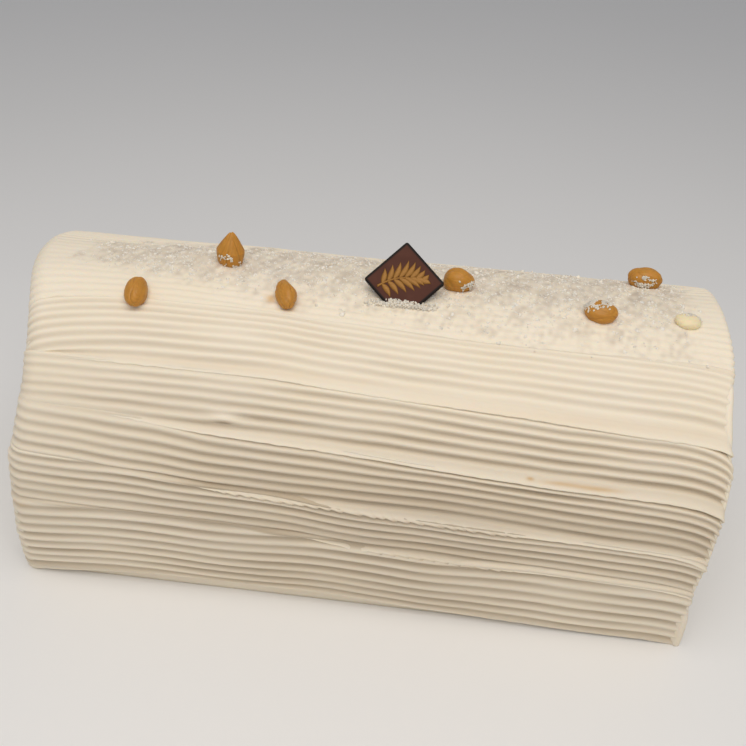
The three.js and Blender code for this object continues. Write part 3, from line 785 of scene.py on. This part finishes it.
RAISIN_COLUMNS = 120
RAISIN_ROWS = 80
POLE_GAP = 0.004  # radians between a pole and the first ring
CRUMB_RADII = (0.2, 0.55)
RAISINS = {
    "raisin_1": dict(t=-78.8, s=22.7, size=(7.9, 12.2, 8), turn=4, seed=61),
    "raisin_2": dict(t=-51.6, s=-1.7, size=(10.2, 9, 14.2), turn=0, lean=4, tip=0.72, square=3.2, seed=62,
                     crumbs=((0, -0.7, -0.8), 0.75, 70)),
    "raisin_3": dict(t=-27.8, s=17.1, size=(7.4, 13.2, 8), turn=22, seed=63,
                     notch=((0.7, 0.42, 0.58), 0.5, 0.36)),
    "raisin_4": dict(t=30.8, s=1.2, size=(11, 9, 9.3), turn=-10, seed=64,
                     crumbs=((0.5, -0.75, 0.15), 0.5, 70)),
    "raisin_5": dict(t=98.6, s=-17.7, size=(12.4, 9, 8.7), turn=-4, seed=65,
                     crumbs=((-0.1, -0.9, 0.15), 0.55, 130)),
    "raisin_6": dict(t=79.6, s=11.2, size=(11.4, 9.3, 7.5), turn=-6, seed=66,
                     crumbs=((-0.35, 0.4, 0.85), 0.9, 380)),
    "raisin_7": dict(t=109.3, s=10, size=(8.8, 7.3, 5.2), turn=0, sink=2.2, folds=0.04, seed=67,
                     crumbs=((0.2, 0.8, 0.4), 0.9, 150)),
}


def spin(axis, degrees):
    """The matrix of a turn about an axis."""
    return np.array(Matrix.Rotation(math.radians(degrees), 3, axis))


def stand_on_log(t, s, out):
    """The place at t and s, out mm over the surface, and the turn that brings +Z to the normal there."""
    y, z, ny, nz = section(np.float64(s))
    return np.array([t, y + out * ny, z + out * nz]), spin("X", math.degrees(math.atan2(-ny, nz)))


def angle_from(heading, direction):
    """The angle between unit vectors and a direction."""
    return np.arccos(np.clip(heading @ (np.array(direction) / np.linalg.norm(direction)), -1, 1))


def raisin_form(t, s, size, turn, seed, lean=0, sink=1.8, folds=0.07, tip=0.0, square=2.0, notch=None):
    """A raisin: an ellipsoid whose radius drops along creases, 1 - |waves|, that run along its length.
    square is the exponent that makes its shoulders fuller, tip the share by which it narrows to its top, and
    notch a direction, a depth and a width of a dent."""
    size = np.array(size, float)
    up = np.linspace(POLE_GAP, np.pi - POLE_GAP, RAISIN_ROWS)[:, None]
    round_it = np.linspace(0, 2 * np.pi, RAISIN_COLUMNS, endpoint=False)[None]
    heading = spots(np.sin(up) * np.cos(round_it), np.sin(up) * np.sin(round_it), np.cos(up))
    squeezed = heading.copy()
    squeezed[..., int(np.argmax(size))] *= 0.45
    creases = np.clip(1 - np.abs(waves(squeezed, 0.8, seed)) * 1.2, 0, 1)
    fine = np.clip(1 - np.abs(waves(squeezed, 0.3, seed + 100)) * 1.3, 0, 1)
    radius = 1 - folds * creases ** 2 - folds * 0.3 * fine ** 2 + 0.10 * waves(heading, 1.6, seed + 200)
    girth, rise = np.hypot(heading[..., 0], heading[..., 1]), np.abs(heading[..., 2])
    radius = radius * (girth ** square + rise ** square) ** (-1 / square)
    if notch:
        radius = radius * (1 - notch[1] * np.exp(-(angle_from(heading, notch[0]) / notch[2]) ** 2))
    form = heading * radius[..., None]
    form[..., :2] *= 1 - tip * np.clip(form[..., 2:] / form[..., 2].max(), 0, 1)
    form = (form - (form.max((0, 1)) + form.min((0, 1))) / 2) * size / (form.max((0, 1)) - form.min((0, 1)))
    place, tilt = stand_on_log(t, s, size[2] / 2 - sink)
    return form @ (tilt @ spin("Z", turn) @ spin("Y", lean)).T + place


def raisin_skin(name, deep, light, amount):
    """Golden raisin skin: thin, waxy and translucent. It is lighter where the mesh is pointed, painted light
    for the amber that shows through its ridges, and its folds stay brown, painted shade. Its wax gives small
    soft highlights. It is blotched in spots of about 2.4 mm."""
    material = new_material(name)
    place = node(material, "TexCoord")
    blotch = node(material, "TexNoise", Vector=(place, "Object"), Scale=420.0, Detail=3.0)
    bends = node(material, "NewGeometry")
    # Painted light on the pointed ridges, painted shade in the folds.
    ridge = node(material, "MapRange", Value=(bends, "Pointiness"), From_Min=0.44, From_Max=0.56)
    blend = node(material, "Math", {"operation": "MULTIPLY_ADD"}, _0=(blotch, "Fac"), _1=0.5,
                 _2=(ridge, "Result"))
    tint = node(material, "Mix", MIX, Factor=(blend, "Value"), _6=linear(deep), _7=linear(light))
    skin = node(material, "BsdfPrincipled", Base_Color=(tint, 2), Roughness=0.45, IOR=1.4,
                Subsurface_Weight=amount, Subsurface_Radius=(1.0, 0.55, 0.2), Subsurface_Scale=0.0015)
    return show(material, skin)


moist_meringue = meringue("moist_meringue", "d9cfbe", "eee4d3")
golden_skin = raisin_skin("golden_raisin_skin", "8f5f16", "c78c38", 0.3)
pale_skin = raisin_skin("pale_raisin_skin", "e3d2a6", "f1e2bd", 0.4)
for name, form in RAISINS.items():
    pale = name == "raisin_7"
    stuck = form.pop("crumbs", None)  # the direction, spread and number of the crumbs that stick to it
    skin = raisin_form(**form)
    raisin = piece(name + "_skin", *rings_with_caps(skin), pale_skin if pale else golden_skin)
    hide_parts(name)
    if stuck is None:
        continue
    direction, spread, count = stuck
    random = np.random.default_rng(form["seed"] + 20)
    middle = (skin.max((0, 1)) + skin.min((0, 1))) / 2
    heading = (skin - middle) / (skin.max((0, 1)) - skin.min((0, 1)))
    heading /= np.linalg.norm(heading, axis=-1, keepdims=True)
    away = angle_from(heading, direction)
    odds = np.exp(-(away / spread) ** 4)
    odds = odds * np.sin(np.linspace(POLE_GAP, np.pi - POLE_GAP, RAISIN_ROWS))[:, None]
    odds = odds * np.clip(0.35 + waves(skin, 2.2, form["seed"] + 30), 0, 1)
    chosen = random.choice(odds.size, count, p=(odds / odds.sum()).ravel())
    radii = random.uniform(*CRUMB_RADII, count)
    crumb_piece(name + "_crumbs", random, skin.reshape(-1, 3)[chosen], radii, 1, moist_meringue, name)

# ----------------------------------------
# The plaque: a thin square of dark chocolate cast in a mould, with softened edges. It leans back on one
# corner, which is pushed into the cream. A sprig of gold powder is printed on its face.

PLAQUE_SIDE = 19.8
PLAQUE_THICKNESS = 2.2
PLAQUE_AT = {"t": 12.0, "s": 14.1, "sink": 6.3}  # sink is how far the corner goes in along the diagonal
PLAQUE_LEAN = 40.0
PLAQUE_ROLL = 1.6
PLAQUE_CORNER = 0.9
PLAQUE_BEVEL = 0.45
FACE_RINGS = [0.98, 0.9, 0.7, 0.5, 0.3, 0.15, 0.11, 0.075, 0.06]  # insets, as shares of half its side
BEVEL_RINGS = 5
SQUARE_SIDE_POINTS = 24
SQUARE_CORNER_POINTS = 6


def square_ring(half, corner):
    """Points round a square of half side half, whose corners are arcs of radius corner."""
    quarter = np.linspace(0, np.pi / 2, SQUARE_CORNER_POINTS)
    arc = half - corner + corner * np.stack([np.cos(quarter), np.sin(quarter)], -1)
    along = np.linspace(0, 1, SQUARE_SIDE_POINTS + 2)[1:-1, None]
    side = np.concatenate([arc, arc[-1] - along * [2 * (half - corner), 0]])
    return np.concatenate([side @ spin("Z", 90 * i)[:2, :2].T for i in range(4)])


def stand_plaque(flat):
    """From the plaque's own plane, whose z points out of its face, to its place on the log."""
    place, _ = stand_on_log(PLAQUE_AT["t"], PLAQUE_AT["s"], 0)
    up = PLAQUE_SIDE / math.sqrt(2) - PLAQUE_AT["sink"]
    lean = math.radians(PLAQUE_LEAN)
    centre = place + up * np.array([0, math.sin(lean), math.cos(lean)])
    return flat @ (spin("X", 90 - PLAQUE_LEAN) @ spin("Z", PLAQUE_ROLL)).T + centre


def dark_chocolate(name):
    """Dark chocolate, tempered and cast: a hard fat with a matt brown face and, by the attribute edge,
    painted shade on its rounded edges. Its bloom varies over about 4 mm."""
    material = new_material(name)
    bloom, tint = mottled(material, 260.0, 4.0, "48261c", "5c372a")
    # The attribute edge mixes in painted shade on the rounded edges.
    edge = node(material, "Attribute", {"attribute_name": "edge"})
    shade = node(material, "Mix", MIX, Factor=(edge, "Fac"), _6=(tint, 2), _7=linear("1c1512"))
    relief = node(material, "Bump", Height=(bloom, "Fac"), Strength=0.15, Distance=0.0003)
    fat = node(material, "BsdfPrincipled", Base_Color=(shade, 2), Roughness=0.55, IOR=1.4,
               Specular_IOR_Level=0.2, Normal=(relief, "Normal"))
    return show(material, fat)


inset = PLAQUE_SIDE / 2 * np.array(FACE_RINGS)
round_edge = np.linspace(0, np.pi / 2, BEVEL_RINGS)
insets = np.concatenate([inset, PLAQUE_BEVEL * (1 - np.sin(round_edge))])
sunk = np.concatenate([np.zeros(len(inset)), 1 - np.cos(round_edge)])
rises = PLAQUE_THICKNESS / 2 - PLAQUE_BEVEL * sunk
insets, rises = np.concatenate([insets, insets[::-1]]), np.concatenate([rises, -rises[::-1]])
corner_radii = np.maximum(PLAQUE_CORNER - insets, 0.08)
rings = np.stack([square_ring(PLAQUE_SIDE / 2 - i, c) for i, c in zip(insets, corner_radii)])
rings = rings @ spin("Z", 45)[:2, :2].T
flat = np.concatenate([rings, np.broadcast_to(rises[:, None, None], (*rings.shape[:2], 1))], -1)
flat[..., 2] += 0.05 * waves(rings, 8.0, 71) * np.sign(flat[..., 2])
# Painted shade on the rounded edges, carried by the attribute edge.
painted_edge_shade = np.append(np.repeat(smoothstep(-insets, -1.2, -0.6), rings.shape[1]), [0, 0])
plaque = piece("chocolate_plaque", *rings_with_caps(stand_plaque(flat)),
               dark_chocolate("cast_dark_chocolate"), edge=painted_edge_shade)
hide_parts("plaque")

SPRIG_HALF = 8.0
SPRIG_LEAVES = 8
LEAF_LENGTH = 7.4
LEAF_WIDTH = 2.0
SPRIG_RAISE = 0.28  # how high the gold stands on the face
HEAP_CRUMBS = 420
HEAP_LENGTH = 5.5  # mm of t over which the crumbs at its foot spread


def stroke(path, widths):
    """A flattened closed tube along a path in the plaque's plane, half sunk in its face."""
    along = np.gradient(path, axis=0)
    along /= np.linalg.norm(along, axis=1, keepdims=True)
    across = np.stack([-along[:, 1], along[:, 0]], -1)
    angle = np.linspace(0, 2 * np.pi, 12, endpoint=False)
    plane = path[:, None] + across[:, None] * (widths[:, None] * np.cos(angle))[..., None]
    lift = PLAQUE_THICKNESS / 2 + SPRIG_RAISE * np.sin(angle) * np.minimum(widths / 0.25, 1)[:, None]
    return np.concatenate([plane, lift[..., None]], -1)


def sprig():
    """A leafy sprig across the face: a stem bent like a low arch, and pairs of leaves that bend outwards."""
    run = np.linspace(-1, 1, 40)
    stem = np.stack([SPRIG_HALF * run - 1.2, 1.0 - 2.2 * run ** 2 + 1.2 * run], -1)
    strokes = [stroke(stem, 0.32 - 0.12 * run)]
    part = np.linspace(0.02, 1, 16)
    widths = LEAF_WIDTH / 2 * np.sin(np.pi * part ** 0.8) + 0.02
    for place in np.linspace(-0.82, 0.86, SPRIG_LEAVES):
        root = np.array([np.interp(place, run, stem[:, i]) for i in (0, 1)])
        length = LEAF_LENGTH * (1 - 0.3 * abs(place) - 0.3 * max(place, 0))
        for side in (-1, 1):
            heading = math.radians(28 - 24 * place) * side + 0.35 * side * part + 0.25
            leaf = length * np.stack([np.cos(heading), np.sin(heading)], -1)
            strokes.append(stroke(root + leaf * part[:, None], widths))
    return strokes


def gold_powder(name):
    """Edible gold powder printed on the chocolate: a dull metal lustre in grains of about 0.5 mm."""
    material = new_material(name)
    _, tint = mottled(material, 2200.0, 2.0, "7e5517", "a06f2a")
    metal = node(material, "BsdfPrincipled", Base_Color=(tint, 2), Metallic=0.35, Roughness=0.5)
    return show(material, metal)


points, faces, before = [], [], 0
for shape in sprig():
    flat_points, flat_faces = rings_with_caps(shape)
    points.append(stand_plaque(flat_points))
    faces += [f + before for f in flat_faces]
    before += len(flat_points)
gold = piece("gold_sprig", np.concatenate(points), faces, gold_powder("gold_powder"))
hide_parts("plaque")

random = np.random.default_rng(81)
t = PLAQUE_AT["t"] + random.normal(0, HEAP_LENGTH, HEAP_CRUMBS)
s = PLAQUE_AT["s"] + 1.2 + random.uniform(-2.0, 1.2, HEAP_CRUMBS)
radii = random.uniform(0.35, 0.95, HEAP_CRUMBS)
heap = random.uniform(-0.3, 1.3, HEAP_CRUMBS) * np.exp(-((t - PLAQUE_AT["t"]) / 8.0) ** 2)
heaped = on_log(t, s, top_height(t, s) + heap)
crumb_piece("crumbs_at_plaque", random, heaped, radii, 1, moist_meringue, "log")
